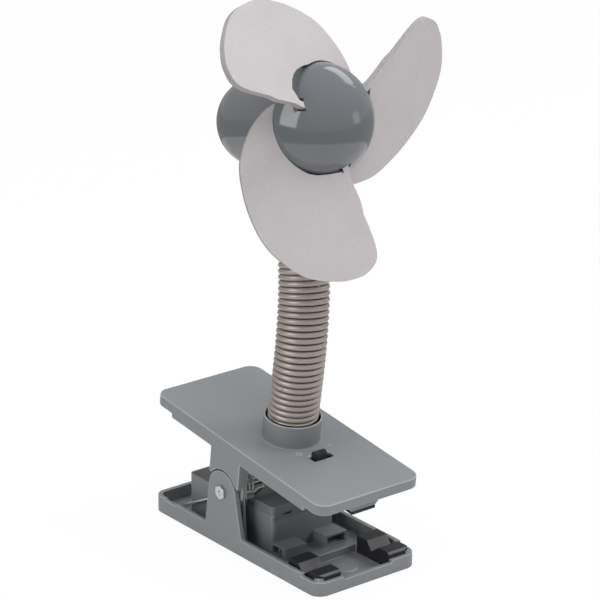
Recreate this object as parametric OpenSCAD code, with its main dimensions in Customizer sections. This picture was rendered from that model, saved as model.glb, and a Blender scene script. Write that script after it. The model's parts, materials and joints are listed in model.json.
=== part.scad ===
// Clip fan: a spring clip holds two cells and carries a bendable neck,
// with a small motor and three soft blades on its far end.
// Front is +X, where the jaws grip. Origin: middle of the clip's foot.

/* [Clip] */
// length of both jaws
clip_length = 112.5; // [80:1:160]
// width of both jaws
clip_width = 52; // [44:1:80]
// radius of the jaws' corners, seen from above
corner_radius = 5.5; // [2:0.1:12]
// thickness of the jaws' side walls
wall = 2; // [1.2:0.1:4]
// thickness of the lower jaw's floor
floor_thickness = 1.5; // [1:0.1:4]
// height of the lower jaw's side rim
rim_height = 7.3; // [5:0.1:14]
// height of the front rim's two outer tabs
tab_height = 6.1; // [3:0.1:12]
// height of the front rim's middle notch
notch_height = 4.9; // [2:0.1:10]
// how far the near rim dips in its small step
rim_step = 0.7; // [0:0.1:2]
// thickness of the upper jaw's plate
plate_thickness = 2; // [1.2:0.1:4]
// depth of the upper jaw's skirt at its ends
end_skirt = 4.7; // [2:0.05:10]
// depth of the upper jaw's skirt along its sides
side_skirt = 6.6; // [3:0.1:14]
// forward place of the upper plate's middle
plate_x = 2.46; // [-10:0.02:15]
// height of the upper plate's middle
plate_z = 47.34; // [30:0.02:80]
// how far the upper plate leans forward, in degrees
plate_tilt = 7.2; // [0:0.02:15]

/* [Hinge] */
// forward place of the hinge bolt
hinge_x = -7.4; // [-30:0.1:10]
// height of the hinge bolt
hinge_z = 24.6; // [15:0.1:50]
// radius of the hinge bolt
bolt_radius = 1.5; // [1:0.1:3]
// distance across the bolt head's flats
bolt_head_width = 5.5; // [4:0.1:9]
// height of the bolt head
bolt_head_height = 1.2; // [0.8:0.1:4]
// height of the bolt's nut
bolt_nut_height = 1.8; // [1:0.1:4]
// radius of the lower jaw's outer ears
outer_ear_radius = 9.1; // [6:0.1:16]
// radius of the lower jaw's inner ears
inner_ear_radius = 6.8; // [5:0.1:14]
// radius of the upper jaw's ears round the bolt
upper_ear_radius = 8.3; // [5:0.1:14]
// width of the upper jaw's ears at the plate
upper_ear_width = 19.6; // [12:0.1:30]
// thickness of the outer ears
outer_ear = 2.3; // [1.5:0.1:5]
// thickness of the upper jaw's ears
upper_ear = 2.3; // [1.5:0.1:5]
// thickness of the lower jaw's inner ears
inner_ear = 1.4; // [1:0.1:4]
// gap between ears that turn past each other
ear_gap = 0.5; // [0.2:0.05:1]
// how far the closing stop reaches below the bolt
stop_reach = 13; // [8:0.5:18]

/* [Clip spring] */
// radius of the clip spring's wire
spring_wire = 0.6; // [0.3:0.05:1.2]
// radius of the clip spring's curls
spring_curl = 5; // [3:0.1:8]
// sideways place of each curl's outer end
spring_outer_y = 17.9; // [10:0.1:24]
// sideways place of each curl's inner end
spring_inner_y = 12; // [4:0.1:20]
// how far the spring's rear legs reach behind the bolt
spring_rear_reach = 39.7; // [20:0.1:60]
// how far the spring's front legs reach before the bolt
spring_front_reach = 10.4; // [6:0.1:20]
// radius of the pegs under the front legs
peg_radius = 1.2; // [0.8:0.1:2]

/* [Battery box] */
// length of one cell with its contact
cell_length = 50.5; // [30:0.1:80]
// radius of one cell
cell_radius = 7.1; // [4:0.1:12]
// sideways distance of each cell's middle
cell_offset = 7.3; // [4:0.05:14]
// room for the contacts at both cell ends
contact_room = 4.3; // [2:0.1:6]
// thickness of the box walls
box_wall = 1.3; // [0.8:0.1:3]
// forward place of the box front
box_front = 13.9; // [0:0.1:40]
// height of the box walls
box_top = 18.4; // [10:0.1:30]
// height of the lid's raised front block
block_top = 22.1; // [19:0.1:22.5]
// length of the lid's raised front block
block_length = 12.4; // [6:0.1:20]
// thickness of the lid's sliding tongue
lid_tongue = 0.8; // [0.5:0.1:2]
// gap round the sliding lid
lid_gap = 0.15; // [0.05:0.05:0.4]
// radius of the contact springs' wire
contact_wire = 0.3; // [0.2:0.05:0.5]

/* [Grip] */
// inner edge of each rubber pad
pad_inner = 12.4; // [4:0.1:20]
// gap between each rubber pad and the side rim
pad_gap = 1; // [0.3:0.1:4]
// distance of the pads' rear edge from the jaw's front end
pad_depth = 22.75; // [20:0.05:40]
// height of the pads' rear land
pad_height = 9; // [5:0.1:16]
// height of the pads' groove
pad_groove = 5.3; // [3:0.1:12]
// width of the upper jaw's tongue
tongue_width = 15.4; // [8:0.1:30]
// thickness of the tongue, front to back
tongue_thickness = 5; // [2:0.1:10]
// how far the tongue reaches below the plate
tongue_reach = 9.4; // [5:0.1:20]
// thickness of the tongue's rubber pad
tongue_pad_height = 1.5; // [0.8:0.1:4]

/* [Switch] */
// forward place of the switch on the plate
switch_x = 20.9; // [10:0.1:40]
// length of the plate slot, across the clip
slot_length = 10.2; // [6:0.1:16]
// width of the plate slot
slot_width = 4.1; // [2:0.1:8]
// length of the knob
knob_length = 5.4; // [3:0.1:9]
// width of the knob
knob_width = 3.4; // [1.5:0.1:6]
// height of the knob above the plate
knob_height = 3.2; // [1:0.1:6]
// travel of the knob
knob_travel = 3; // [1:0.1:5]

/* [Neck] */
// length of the bendable neck along its middle
neck_length = 114.92; // [60:0.01:200]
// forward place of the neck on the plate
neck_x = 3.2; // [-20:0.1:20]
// outer radius of the neck coil
coil_radius = 10.6; // [6:0.1:16]
// rise of one curl of the neck coil
coil_pitch = 2.5; // [1.5:0.05:5]
// radius of the neck coil's wire
coil_wire = 0.925; // [0.4:0.005:2]
// radius of the links inside the coil
link_radius = 7.7; // [4:0.1:12]
// radius of the domes where links rock
link_dome = 11; // [9:0.5:40]
// gap of each dome to its rocking point
link_gap = 0.27; // [0.05:0.01:0.5]
// outer radius of the collar round the neck's foot
collar_radius = 12.05; // [8:0.05:20]
// height of the collar
collar_height = 10.3; // [4:0.1:20]
// inner radius of the collar
collar_bore = 11.2; // [7:0.1:18]

/* [Head] */
// upward lean of the fan's axis, in degrees
head_pitch = 13.59; // [-30:0.01:45]
// sideways turn of the fan's axis, in degrees
head_yaw = 2.01; // [-30:0.01:30]
// radius of the motor housing
housing_radius = 17.7; // [10:0.1:30]
// distance from the neck's axis to the hub's back
neck_to_hub = 20.6; // [15:0.1:40]
// distance from the neck's axis to the rear dome's middle
neck_to_dome = 16.5; // [8:0.1:40]
// thickness of the housing shell
housing_wall = 1.8; // [1:0.1:4]
// gap between housing and hub
seam_gap = 1.4; // [0.5:0.1:4]
// radius of the motor can
can_radius = 12; // [8:0.1:20]
// length of the motor can
can_length = 27; // [15:0.5:50]
// radius of the motor shaft
shaft_radius = 1; // [0.8:0.05:3]
// gap between shaft and bearing
shaft_gap = 0.04; // [0.01:0.01:0.1]

/* [Rotor] */
// radius of the hub dome at its back
hub_radius = 23.5; // [12:0.1:40]
// height of the hub dome
hub_height = 20.4; // [8:0.1:40]
// thickness of the hub dome
hub_wall = 1.6; // [1:0.1:4]
// radius of the hub's inner boss
boss_radius = 7.7; // [4:0.1:10]
// size of a blade from the axis outward
blade_reach = 63.4; // [40:0.1:120]
// thickness of the soft blades
blade_thickness = 2.5; // [1:0.1:5]
// pitch of the blades, in degrees
blade_pitch = 24.1; // [10:0.1:45]
// place of the blades on the fan's axis
blade_station = 8.6; // [4:0.1:20]
// rotor angle of the first blade, in degrees
blade_turn = 138.6; // [0:0.1:360]

/* [Hidden] */
$fn = 72;

// small shared sizes
unit = 1;
nip = 0.05;
seat = 0.1;
wide = clip_length * 3;
half_length = clip_length / 2;
half_width = clip_width / 2;

// plain vector helpers
function unit_of(v) = v / norm(v);
function side_of(d) = unit_of(cross(d, abs(d.z) < 0.9 ? [0, 0, 1] : [1, 0, 0]));

// a round wire along a list of points, as triangles with closed ends
wire_sides = 6;
function heading(p, i) =
    unit_of(p[min(i + 1, len(p) - 1)] - p[max(i - 1, 0)]);
function carried(n, d) = unit_of(n - d * (n * d));
function wire_frames(p) = [
    for (i = 0, n = side_of(heading(p, 0)); i < len(p);
        i = i + 1,
        n = i < len(p) ? carried(n, heading(p, i)) : n) n
];

module wire(p, radius) {
    n = wire_frames(p);
    last = len(p) - 1;
    rings = [
        for (i = [0 : last], k = [0 : wire_sides - 1])
            let (d = heading(p, i), m = cross(d, n[i]),
                a = 360 * k / wire_sides)
            p[i] + radius * (cos(a) * n[i] + sin(a) * m)
    ];
    first_cap = len(rings);
    sides = [
        for (i = [0 : last - 1], k = [0 : wire_sides - 1])
            let (a = i * wire_sides + k,
                b = i * wire_sides + (k + 1) % wire_sides,
                c = a + wire_sides,
                e = b + wire_sides)
            each [[a, c, b], [b, c, e]]
    ];
    caps = [
        for (k = [0 : wire_sides - 1])
            let (m = (k + 1) % wire_sides, t = last * wire_sides)
            each [[first_cap, k, m], [first_cap + 1, t + m, t + k]]
    ];
    polyhedron(concat(rings, [p[0], p[last]]), concat(sides, caps));
}

// least free gap of a wire to its own curls, one curl further on
rings_per_curl = 8;
function least_gap(p, radius) = min([
    for (i = [0 : len(p) - rings_per_curl])
        for (j = [i + rings_per_curl - 2 : i + rings_per_curl + 2])
            if (j < len(p)) norm(p[i] - p[j]) - 2 * radius
]);

// outlines
module round_outline(length, width, corner) {
    square([length - 2 * corner, width], center = true);
    square([length, width - 2 * corner], center = true);
    for (x = [-1, 1], y = [-1, 1])
        translate([x * (length / 2 - corner), y * (width / 2 - corner)])
            circle(corner);
}

module slab(from, to) {
    translate(from)
        cube(to - from);
}

// a plate in the XZ plane that reaches from one y to another
module upright(y_from, y_to) {
    translate([0, y_to, 0])
        rotate([90, 0, 0])
            linear_extrude(y_to - y_from)
                children();
}

module across(x, z, radius, y_from, y_to) {
    translate([x, y_from, z])
        rotate([-90, 0, 0])
            cylinder(y_to - y_from, radius, radius);
}

module both_sides() {
    children();
    mirror([0, 1, 0])
        children();
}

module hexagon(width, height) {
    intersection_for (a = [0, 60, 120])
        rotate([0, 0, a])
            translate([-width, -width / 2, 0])
                cube([width * 2, width, height]);
}

// lower jaw
outer_ear_in = half_width - outer_ear;
upper_ear_out = outer_ear_in - ear_gap;
upper_ear_in = upper_ear_out - upper_ear;
inner_ear_out = upper_ear_in - ear_gap;
inner_ear_in = inner_ear_out - inner_ear;
bolt_bore = bolt_radius + nip;
ear_foot_rear = hinge_x - outer_ear_radius * 1.415;
ear_foot_front = hinge_x + outer_ear_radius * 1.604;
inner_foot_rear = hinge_x - inner_ear_radius * 1.24;
inner_foot_front = hinge_x + inner_ear_radius * 1.256;
stop_front = hinge_x - upper_ear_radius * 0.42;
stop_rear = stop_front - upper_ear_radius * 0.5;
stop_top = hinge_z - upper_ear_radius - ear_gap;
cell_space = cell_length + contact_room;
box_rear_in = box_front - box_wall - cell_space;
box_rear = box_rear_in - box_wall;
box_half = cell_offset + cell_radius + box_wall + lid_gap * 2;
box_corner = box_wall * 1.4;
cell_z = floor_thickness + cell_radius;
groove_low = cell_z + cell_radius + lid_gap;
groove_high = groove_low + lid_tongue + lid_gap * 2;
groove_half = box_half - box_wall * 0.6;
lip_half = box_half - box_wall * 1.2;
rim_half = half_width - wall;
rib_x = box_front + half_length * 0.322;
rib_width = 1;
rib_height = 5;
boss_length = 8.7;
boss_post = 2.6;
boss_height = 6.5;
boss_inner = 5;
window_low = 2.2;
window_high = 5.7;
window_depth = 4;
window_inset = 0.35;
pocket_peg = 0.8;
step_rear = -half_length * 0.846;
step_front = -half_length * 0.717;
front_step = half_length * 0.806;
pad_outer = half_width - wall - pad_gap;
pad_rear = half_length - pad_depth;
spot_radius = 4.2;
spot_height = 0.3;
spot_x = 42.6;

module ear_shape(radius, foot_rear, foot_front) {
    translate([hinge_x, hinge_z])
        circle(radius);
    polygon([
        [foot_rear, 0], [foot_front, 0],
        [hinge_x + radius, hinge_z], [hinge_x - radius, hinge_z]
    ]);
}

module box_outline() {
    translate([(box_rear + box_front) / 2, 0])
        round_outline(box_front - box_rear, box_half * 2, box_corner);
}

module lower_ears() {
    upright(outer_ear_in, half_width)
        ear_shape(outer_ear_radius, ear_foot_rear, ear_foot_front);
    upright(inner_ear_in, inner_ear_out)
        ear_shape(inner_ear_radius, inner_foot_rear, inner_foot_front);
    slab([stop_rear, inner_ear_out - nip, 0],
        [stop_front, outer_ear_in + nip, stop_top]);
}

module pin_boss() {
    translate([box_front - nip, boss_inner, 0])
        cube([boss_length, box_half - boss_inner, boss_height]);
}

module lower_jaw() {
    color([0.50, 0.51, 0.52])
    difference() {
        union() {
            linear_extrude(floor_thickness)
                round_outline(clip_length, clip_width, corner_radius);
            linear_extrude(rim_height)
                difference() {
                    round_outline(clip_length, clip_width, corner_radius);
                    round_outline(clip_length - 2 * wall,
                        clip_width - 2 * wall, corner_radius - wall);
                }
            both_sides()
                lower_ears();
            linear_extrude(box_top)
                box_outline();
            both_sides()
                pin_boss();
            slab([rib_x, -pad_inner, 0], [rib_x + rib_width, pad_inner, rib_height]);
            translate([spot_x, 0, 0])
                cylinder(floor_thickness + spot_height, spot_radius, spot_radius);
        }
        // front rim: two tabs and a middle notch
        slab([front_step, -wide, tab_height], [wide, -rim_half + nip, wide]);
        slab([front_step, rim_half - nip, tab_height], [wide, wide, wide]);
        slab([half_length - wall - nip, -wide, tab_height], [wide, wide, wide]);
        slab([half_length - wall - nip, -pad_inner, notch_height],
            [wide, pad_inner, wide]);
        // small step in the near rim
        slab([step_rear, -wide, rim_height - rim_step],
            [step_front, -rim_half + nip, wide]);
        // room for the cells, and the lid's way out
        slab([box_rear_in, -box_half + box_wall, floor_thickness],
            [box_front - box_wall, box_half - box_wall, wide]);
        slab([box_rear_in, -groove_half, groove_low], [wide, groove_half, groove_high]);
        slab([box_rear_in, -lip_half, groove_low], [wide, lip_half, wide]);
        // hinge bores
        across(hinge_x, hinge_z, bolt_bore, -wide, wide);
        // windows of the two front bosses
        slab([box_front + window_inset, -box_half - nip, window_low],
            [box_front + boss_length - boss_post, -box_half + window_depth, window_high]);
        slab([box_front + boss_length - window_depth, boss_inner + unit, window_low],
            [box_front + boss_length + unit, box_half - unit, window_high]);
    }
    color([0.62, 0.62, 0.62])
    across(box_front + (boss_length - boss_post) / 2, (window_low + window_high) / 2,
        pocket_peg, -box_half + unit, -box_half + window_depth + nip);
}

// battery lid
lid_rear = box_rear_in + lid_gap;
block_rear = box_front - block_length;
notch_middle = -box_half / 2;
notch_half = 2.1;
notch_depth = 1.3;
block_fillet = 2;

module battery_lid() {
    tongue_half = groove_half - lid_gap;
    plate_half = lip_half - lid_gap;
    color([0.46, 0.47, 0.48])
    difference() {
        union() {
            slab([lid_rear, -tongue_half, groove_low + lid_gap / 2],
                [box_front, tongue_half, groove_low + lid_gap / 2 + lid_tongue]);
            slab([lid_rear, -plate_half, groove_low + lid_gap / 2],
                [box_front, plate_half, box_top]);
            translate([0, 0, box_top + seat])
                linear_extrude(block_top - box_top - seat)
                    intersection() {
                        box_outline();
                        translate([block_rear, -wide])
                            square([wide, wide * 2]);
                    }
            slab([block_rear, -plate_half, box_top - nip],
                [box_front - box_corner, plate_half, box_top + unit]);
        }
        slab([box_front - notch_depth, notch_middle - notch_half, box_top - unit],
            [wide, notch_middle + notch_half, box_top]);
    }
}

// cells and contacts
cell_nub_radius = 2.7;
cell_nub_height = 1;
cell_rim = 0.6;
plate_sheet = 0.4;
contact_plate_half = 6;
cell_rear = box_rear_in + contact_room / 2;

module battery(y, turned) {
    translate([cell_rear + (turned ? cell_length : 0), y, cell_z])
        rotate([0, turned ? -90 : 90, 0]) {
            color([0.22, 0.36, 0.62])
            cylinder(cell_length - cell_nub_height, cell_radius - nip, cell_radius - nip);
            color([0.8, 0.8, 0.78])
            cylinder(cell_length, cell_nub_radius, cell_nub_radius);
        }
}

module battery_near() { battery(-cell_offset, false); }
module battery_far() { battery(cell_offset, true); }

curl_count = 3;
curl_wide = 4.2;
curl_narrow = 2.6;
contact_seat = plate_sheet + contact_wire + seat / 2;
contact_rise = contact_room / 2 - contact_seat - contact_wire - seat / 2;
contact_path = [
    for (i = [0 : curl_count * rings_per_curl])
        let (share = i / (curl_count * rings_per_curl),
            a = 360 * i / rings_per_curl,
            r = curl_wide - (curl_wide - curl_narrow) * share)
        [contact_rise * share, r * cos(a), r * sin(a)]
];

module contact_springs() {
    color([0.78, 0.76, 0.7]) {
        translate([box_rear_in + contact_seat, -cell_offset, cell_z])
            wire(contact_path, contact_wire);
        translate([box_front - box_wall - contact_seat, cell_offset, cell_z])
            mirror([1, 0, 0])
                wire(contact_path, contact_wire);
    }
}

module contact_plates() {
    color([0.8, 0.79, 0.74]) {
        for (y = [-cell_offset, cell_offset])
            slab([box_rear_in + nip, y - contact_plate_half, floor_thickness + seat],
                [box_rear_in + nip + plate_sheet, y + contact_plate_half,
                cell_z + contact_plate_half]);
        slab([box_front - box_wall - nip - plate_sheet,
            -cell_offset - contact_plate_half, floor_thickness + seat],
            [box_front - box_wall - nip, cell_offset + contact_plate_half,
            cell_z + contact_plate_half]);
    }
}

// rubber pads of the lower jaw
pad_land = 6.5;
pad_valley = 9.5;
pad_crest = 14;
pad_front = 21.1;
pad_front_height = 8.5;
pad_bevel = 1.3;

module pad_shape() {
    lip = half_length - wall - seat - pad_rear;
    translate([pad_rear, 0])
        polygon([
            [0, floor_thickness], [0, pad_height], [pad_land, pad_height],
            [pad_valley, pad_groove], [pad_crest, pad_front_height],
            [pad_front - pad_bevel, pad_front_height],
            [pad_front, pad_front_height - pad_bevel], [pad_front, tab_height],
            [lip, tab_height], [lip, floor_thickness]
        ]);
}

module grip_pad(y_from, y_to) {
    rim = wall + seat;
    intersection() {
        upright(y_from, y_to)
            pad_shape();
        linear_extrude(wide)
            round_outline(clip_length - 2 * rim, clip_width - 2 * rim,
                corner_radius - rim);
    }
}

module grip_pad_near() {
    color([0.16, 0.16, 0.17])
    grip_pad(-pad_outer, -pad_inner);
}

module grip_pad_far() {
    color([0.16, 0.16, 0.17])
    grip_pad(pad_inner, pad_outer);
}

// hinge bolt and nut
dimple_radius = 0.9;
dimple_depth = 0.6;

module hinge_bolt() {
    color([0.75, 0.75, 0.74])
    difference() {
        union() {
            translate([hinge_x, -half_width - bolt_head_height, hinge_z])
                rotate([-90, 0, 0])
                    rotate([0, 0, 30])
                        hexagon(bolt_head_width, bolt_head_height);
            across(hinge_x, hinge_z, bolt_radius, -half_width - nip,
                half_width + bolt_nut_height + unit);
        }
        across(hinge_x, hinge_z, dimple_radius, -wide,
            -half_width - bolt_head_height + dimple_depth);
    }
}

module hinge_nut() {
    color([0.72, 0.72, 0.71])
    difference() {
        translate([hinge_x, half_width, hinge_z])
            rotate([-90, 0, 0])
                hexagon(bolt_head_width, bolt_nut_height);
        across(hinge_x, hinge_z, bolt_radius + nip / 2, 0, wide);
    }
}

// clip spring: two curls round the bolt, joined behind the box
spring_curls = 3;
spring_low_z = floor_thickness + spring_wire + nip;
spring_rear_x = hinge_x - spring_rear_reach;
spring_tip = [hinge_x + spring_front_reach, hinge_z + 2.6 * spring_curl / 5];
function tangent_angle(from, sense) =
    atan2(from.y, from.x) + sense * acos(spring_curl / norm(from));
rear_from = [spring_rear_x - hinge_x + spring_curl * 3.7,
    spring_low_z + spring_curl * 1.9 - hinge_z];
tip_from = [spring_tip.x - hinge_x, spring_tip.y - hinge_z];
rear_angle = tangent_angle(rear_from, 1);
tip_angle = tangent_angle(tip_from, -1) + 360 * spring_curls;
curl_steps = round((tip_angle - rear_angle) / 360 * rings_per_curl);
peg_spot = [hinge_x + spring_curl * 1.8,
    hinge_z + spring_curl * 0.26 - spring_wire - peg_radius - nip];
hook_bend = spring_wire * 1.6;
spring_half = concat(
    [
        [spring_rear_x - hook_bend, 0, spring_low_z],
        [spring_rear_x - hook_bend, spring_outer_y - hook_bend * 2, spring_low_z],
        [spring_rear_x - hook_bend / 3, spring_outer_y - hook_bend / 2,
        spring_low_z + nip],
        [spring_rear_x + hook_bend, spring_outer_y, spring_low_z + hook_bend / 2],
        [hinge_x + rear_from.x, spring_outer_y, hinge_z + rear_from.y]
    ],
    [
        for (i = [0 : curl_steps])
            let (a = rear_angle + (tip_angle - rear_angle) * i / curl_steps)
            [hinge_x + spring_curl * cos(a),
            spring_outer_y - (spring_outer_y - spring_inner_y) * i / curl_steps,
            hinge_z + spring_curl * sin(a)]
    ],
    [
        [spring_tip.x - hook_bend / 2, spring_inner_y, spring_tip.y - hook_bend / 3],
        [spring_tip.x, spring_inner_y + hook_bend, spring_tip.y],
        [peg_spot.x + hook_bend / 2, upper_ear_in - spring_curl * 0.9,
        peg_spot.y + peg_radius + spring_wire + nip],
        [peg_spot.x, inner_ear_out - nip, peg_spot.y + peg_radius + spring_wire + nip]
    ]
);
spring_path = concat(
    [for (i = [len(spring_half) - 1 : -1 : 1])
        [spring_half[i].x, -spring_half[i].y, spring_half[i].z]],
    [for (i = [1 : len(spring_half) - 1]) spring_half[i]]
);
echo(clip_spring_gap = least_gap(
    [for (i = [5 : 5 + curl_steps]) spring_half[i]], spring_wire));

module clip_spring() {
    color([0.78, 0.77, 0.74])
    wire(spring_path, spring_wire);
}

// upper jaw, drawn on its own plate and then leaned
pin_dx = hinge_x - plate_x;
pin_dz = hinge_z - plate_z;
pin_local = [
    pin_dx * cos(plate_tilt) - pin_dz * sin(plate_tilt),
    pin_dx * sin(plate_tilt) + pin_dz * cos(plate_tilt)
];
upper_ear_front = pin_local.x + upper_ear_width * 0.52;
upper_ear_rear = upper_ear_front - upper_ear_width;
ear_arc = outer_ear_radius + ear_gap * 1.2;
skirt_rear = -half_length * 0.782;
skirt_front = half_length * 0.802;
switch_side = slot_length / 2 + unit / 2;
anchor_bore = 4;
switch_screw_radius = 1;
tongue_inset = 9.05;
tongue_x = half_length - tongue_inset;
tongue_bevel = 1.6;
collar_foot = 0.5;
collar_fillet = 1;

module on_plate() {
    translate([plate_x, 0, plate_z])
        rotate([0, plate_tilt, 0])
            children();
}

module off_plate() {
    rotate([0, -plate_tilt, 0])
        translate([-plate_x, 0, -plate_z])
            children();
}

module upper_ears() {
    upright(outer_ear_in, half_width)
        difference() {
            translate([upper_ear_rear, pin_local.y + outer_ear_radius * 0.6])
                square([upper_ear_width, -pin_local.y - outer_ear_radius * 0.6]);
            translate(pin_local)
                circle(ear_arc);
        }
    upright(upper_ear_out - nip, outer_ear_in + nip)
        difference() {
            translate([upper_ear_rear, pin_local.y + outer_ear_radius * 0.6])
                square([upper_ear_width, -pin_local.y - outer_ear_radius * 0.6]);
            translate(pin_local)
                circle(ear_arc);
        }
    upright(upper_ear_in, upper_ear_out) {
        translate([upper_ear_rear, pin_local.y])
            square([upper_ear_width, -pin_local.y]);
        translate(pin_local)
            circle(upper_ear_radius);
    }
}

module stop_finger() {
    slab([stop_front + nip, upper_ear_in + seat, hinge_z - stop_reach],
        [stop_front + upper_ear_radius * 0.5, upper_ear_out - seat,
        hinge_z - upper_ear_radius * 0.5]);
}

module collar_profile() {
    translate([collar_bore, -nip])
        square([collar_radius - collar_bore, collar_height + nip]);
    difference() {
        translate([collar_bore, -nip])
            square([collar_radius - collar_bore + collar_fillet, collar_fillet + nip]);
        translate([collar_radius + collar_fillet, collar_fillet])
            circle(collar_fillet);
    }
}

module tongue_outline() {
    inset = tongue_width / 2 - tongue_bevel;
    polygon([
        [-tongue_width / 2, 0], [-tongue_width / 2, -tongue_reach + tongue_bevel],
        [-inset, -tongue_reach], [inset, -tongue_reach],
        [tongue_width / 2, -tongue_reach + tongue_bevel], [tongue_width / 2, 0]
    ]);
}

module upper_jaw() {
    color([0.50, 0.51, 0.52])
    on_plate()
        difference() {
            union() {
                translate([0, 0, -plate_thickness])
                    linear_extrude(plate_thickness)
                        round_outline(clip_length, clip_width, corner_radius);
                translate([0, 0, -end_skirt])
                    linear_extrude(end_skirt)
                        difference() {
                            round_outline(clip_length, clip_width, corner_radius);
                            round_outline(clip_length - 2 * wall,
                                clip_width - 2 * wall, corner_radius - wall);
                        }
                both_sides() {
                    slab([skirt_rear, half_width - wall, -side_skirt],
                        [skirt_front, half_width, -nip]);
                    upper_ears();
                    off_plate()
                        stop_finger();
                }
                translate([neck_x, 0, 0])
                    rotate_extrude()
                        collar_profile();
                translate([tongue_x + tongue_thickness, 0, -nip])
                    rotate([90, 0, -90])
                        linear_extrude(tongue_thickness)
                            tongue_outline();
            }
            translate([neck_x, 0, -wide / 2])
                cylinder(wide, anchor_bore + seat, anchor_bore + seat);
            slab([switch_x, -slot_length / 2 + unit / 2, -wide],
                [switch_x + slot_width, slot_length / 2 + unit / 2, wide]);
            off_plate()
                across(hinge_x, hinge_z, bolt_bore, -wide, wide);
        }
    both_sides()
        color([0.50, 0.51, 0.52])
        across(peg_spot.x, peg_spot.y, peg_radius,
            inner_ear_in - spring_curl * 0.45, upper_ear_in + unit);
}

module tongue_pad() {
    half = tongue_width / 2 - tongue_bevel - nip;
    color([0.16, 0.16, 0.17])
    on_plate()
        slab([tongue_x, -half, -tongue_reach - tongue_pad_height - nip],
            [tongue_x + tongue_thickness, half, -tongue_reach - nip]);
}

// switch
switch_mid = switch_x + slot_width / 2;
body_half = knob_width * 1.9;
body_side = slot_length;
body_depth = 6;
well_depth = 2.1;
well_half = knob_width * 1.15;
well_side = slot_length * 0.86;
slider_half = knob_width;
slider_side = knob_length * 1.15;
knob_rear = -knob_length * 0.65;
knob_middle = knob_rear + knob_length / 2;
screw_spot = slot_length * 0.93;
screw_head = 1.7;
screw_head_height = 1.2;

module switch_body() {
    color([0.15, 0.15, 0.16])
    on_plate()
        difference() {
            slab([switch_mid - body_half, -body_side, -plate_thickness - body_depth],
                [switch_mid + body_half, body_side, -plate_thickness - nip / 5]);
            slab([switch_mid - well_half, -well_side, -plate_thickness - well_depth],
                [switch_mid + well_half, well_side, 0]);
            for (y = [-1, 1])
                translate([switch_mid, y * screw_spot, -wide])
                    cylinder(wide, switch_screw_radius / 2, switch_screw_radius / 2);
        }
}

module switch_screws() {
    color([0.7, 0.7, 0.69])
    on_plate()
        for (y = [-1, 1])
            translate([switch_mid, y * screw_spot,
                -plate_thickness - body_depth - screw_head_height]) {
                cylinder(screw_head_height - nip / 5, screw_head, screw_head);
                cylinder(screw_head_height + body_depth - nip,
                    switch_screw_radius / 2 - nip / 2, switch_screw_radius / 2 - nip / 2);
            }
}

knob_ribs = 4;
rib_pitch = 1.05;
rib_depth = 0.35;

module switch_knob() {
    color([0.12, 0.12, 0.13])
    on_plate()
        translate([switch_mid, knob_middle, 0])
            difference() {
                union() {
                    slab([-knob_width / 2, -knob_length / 2, -plate_thickness - unit],
                        [knob_width / 2, knob_length / 2, knob_height - knob_width / 2]);
                    across(0, knob_height - knob_width / 2, knob_width / 2,
                        -knob_length / 2, knob_length / 2);
                    slab([-slider_half, -slider_side, -plate_thickness - well_depth + seat],
                        [slider_half, slider_side, -plate_thickness - seat]);
                }
                for (i = [0 : knob_ribs - 1])
                    translate([0, (i - (knob_ribs - 1) / 2) * rib_pitch, knob_height])
                        slab([-knob_width, -rib_pitch / 4, -rib_depth],
                            [knob_width, rib_pitch / 4, unit]);
            }
}

// neck path: slopes at shares of its length, sideways and forward
path_shares = [0, 14, 26, 38, 50, 62, 84, 106] / 106;
slope_x_shares = [0.122, 0.136, 0.084, -0.022, -0.118, -0.181, -0.221, -0.243];
slope_y_shares = [0, 0.036, 0.077, 0.123, 0.161, 0.146, 0.072, -0.021];
slope_x_table = [for (i = [0 : 7]) [path_shares[i], slope_x_shares[i]]];
slope_y_table = [for (i = [0 : 7]) [path_shares[i], slope_y_shares[i]]];
path_steps = 460;
path_step = neck_length / path_steps;
function slope_at(share) =
    unit_of([lookup(share, slope_x_table), lookup(share, slope_y_table), 1]);
neck_start = [plate_x + neck_x * cos(plate_tilt), 0, plate_z - neck_x * sin(plate_tilt)];
path = [
    for (i = 0, p = neck_start; i <= path_steps;
        p = p + path_step * slope_at((i + 0.5) / path_steps), i = i + 1) p
];
function along(s) =
    let (q = s / path_step, i = min(max(floor(q), 0), path_steps - 1))
    path[i] + (q - i) * (path[i + 1] - path[i]);

joint_first = 16 * neck_length / 114.92;
joint_step = 17 * neck_length / 114.92;
function joint_point(k) = along(joint_first + joint_step * k);
echo(joints = [for (k = [0 : 5]) joint_point(k)]);
echo(neck_end = path[path_steps]);

module from_to(a, b) {
    d = unit_of(b - a);
    translate(a)
        rotate([-asin(d.y), atan2(d.x, d.z), 0])
            children();
}

// a barrel between two rocking points, domed at the ends that rock
module barrel(length, low_dome, high_dome) {
    top = length - (high_dome ? link_gap : 0);
    low = low_dome ? link_gap : 0;
    intersection() {
        translate([0, 0, low])
            cylinder(top - low, link_radius, link_radius);
        if (low_dome)
            translate([0, 0, link_gap + link_dome])
                sphere(link_dome, $fn = 96);
        else
            translate([-wide, -wide, 0])
                cube([wide * 2, wide * 2, wide]);
        if (high_dome)
            translate([0, 0, length - link_gap - link_dome])
                sphere(link_dome, $fn = 96);
        else
            translate([-wide, -wide, 0])
                cube([wide * 2, wide * 2, wide]);
    }
}

module neck_link(k) {
    a = joint_point(k);
    b = joint_point(k + 1);
    color([0.35, 0.34, 0.33])
    from_to(a, b)
        barrel(norm(b - a), true, true);
}

module neck_link_1() { neck_link(0); }
module neck_link_2() { neck_link(1); }
module neck_link_3() { neck_link(2); }
module neck_link_4() { neck_link(3); }
module neck_link_5() { neck_link(4); }

anchor_flange = 1.4;
anchor_stud = 9;
nut_height = 3.6;
nut_width = 13;

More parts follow.
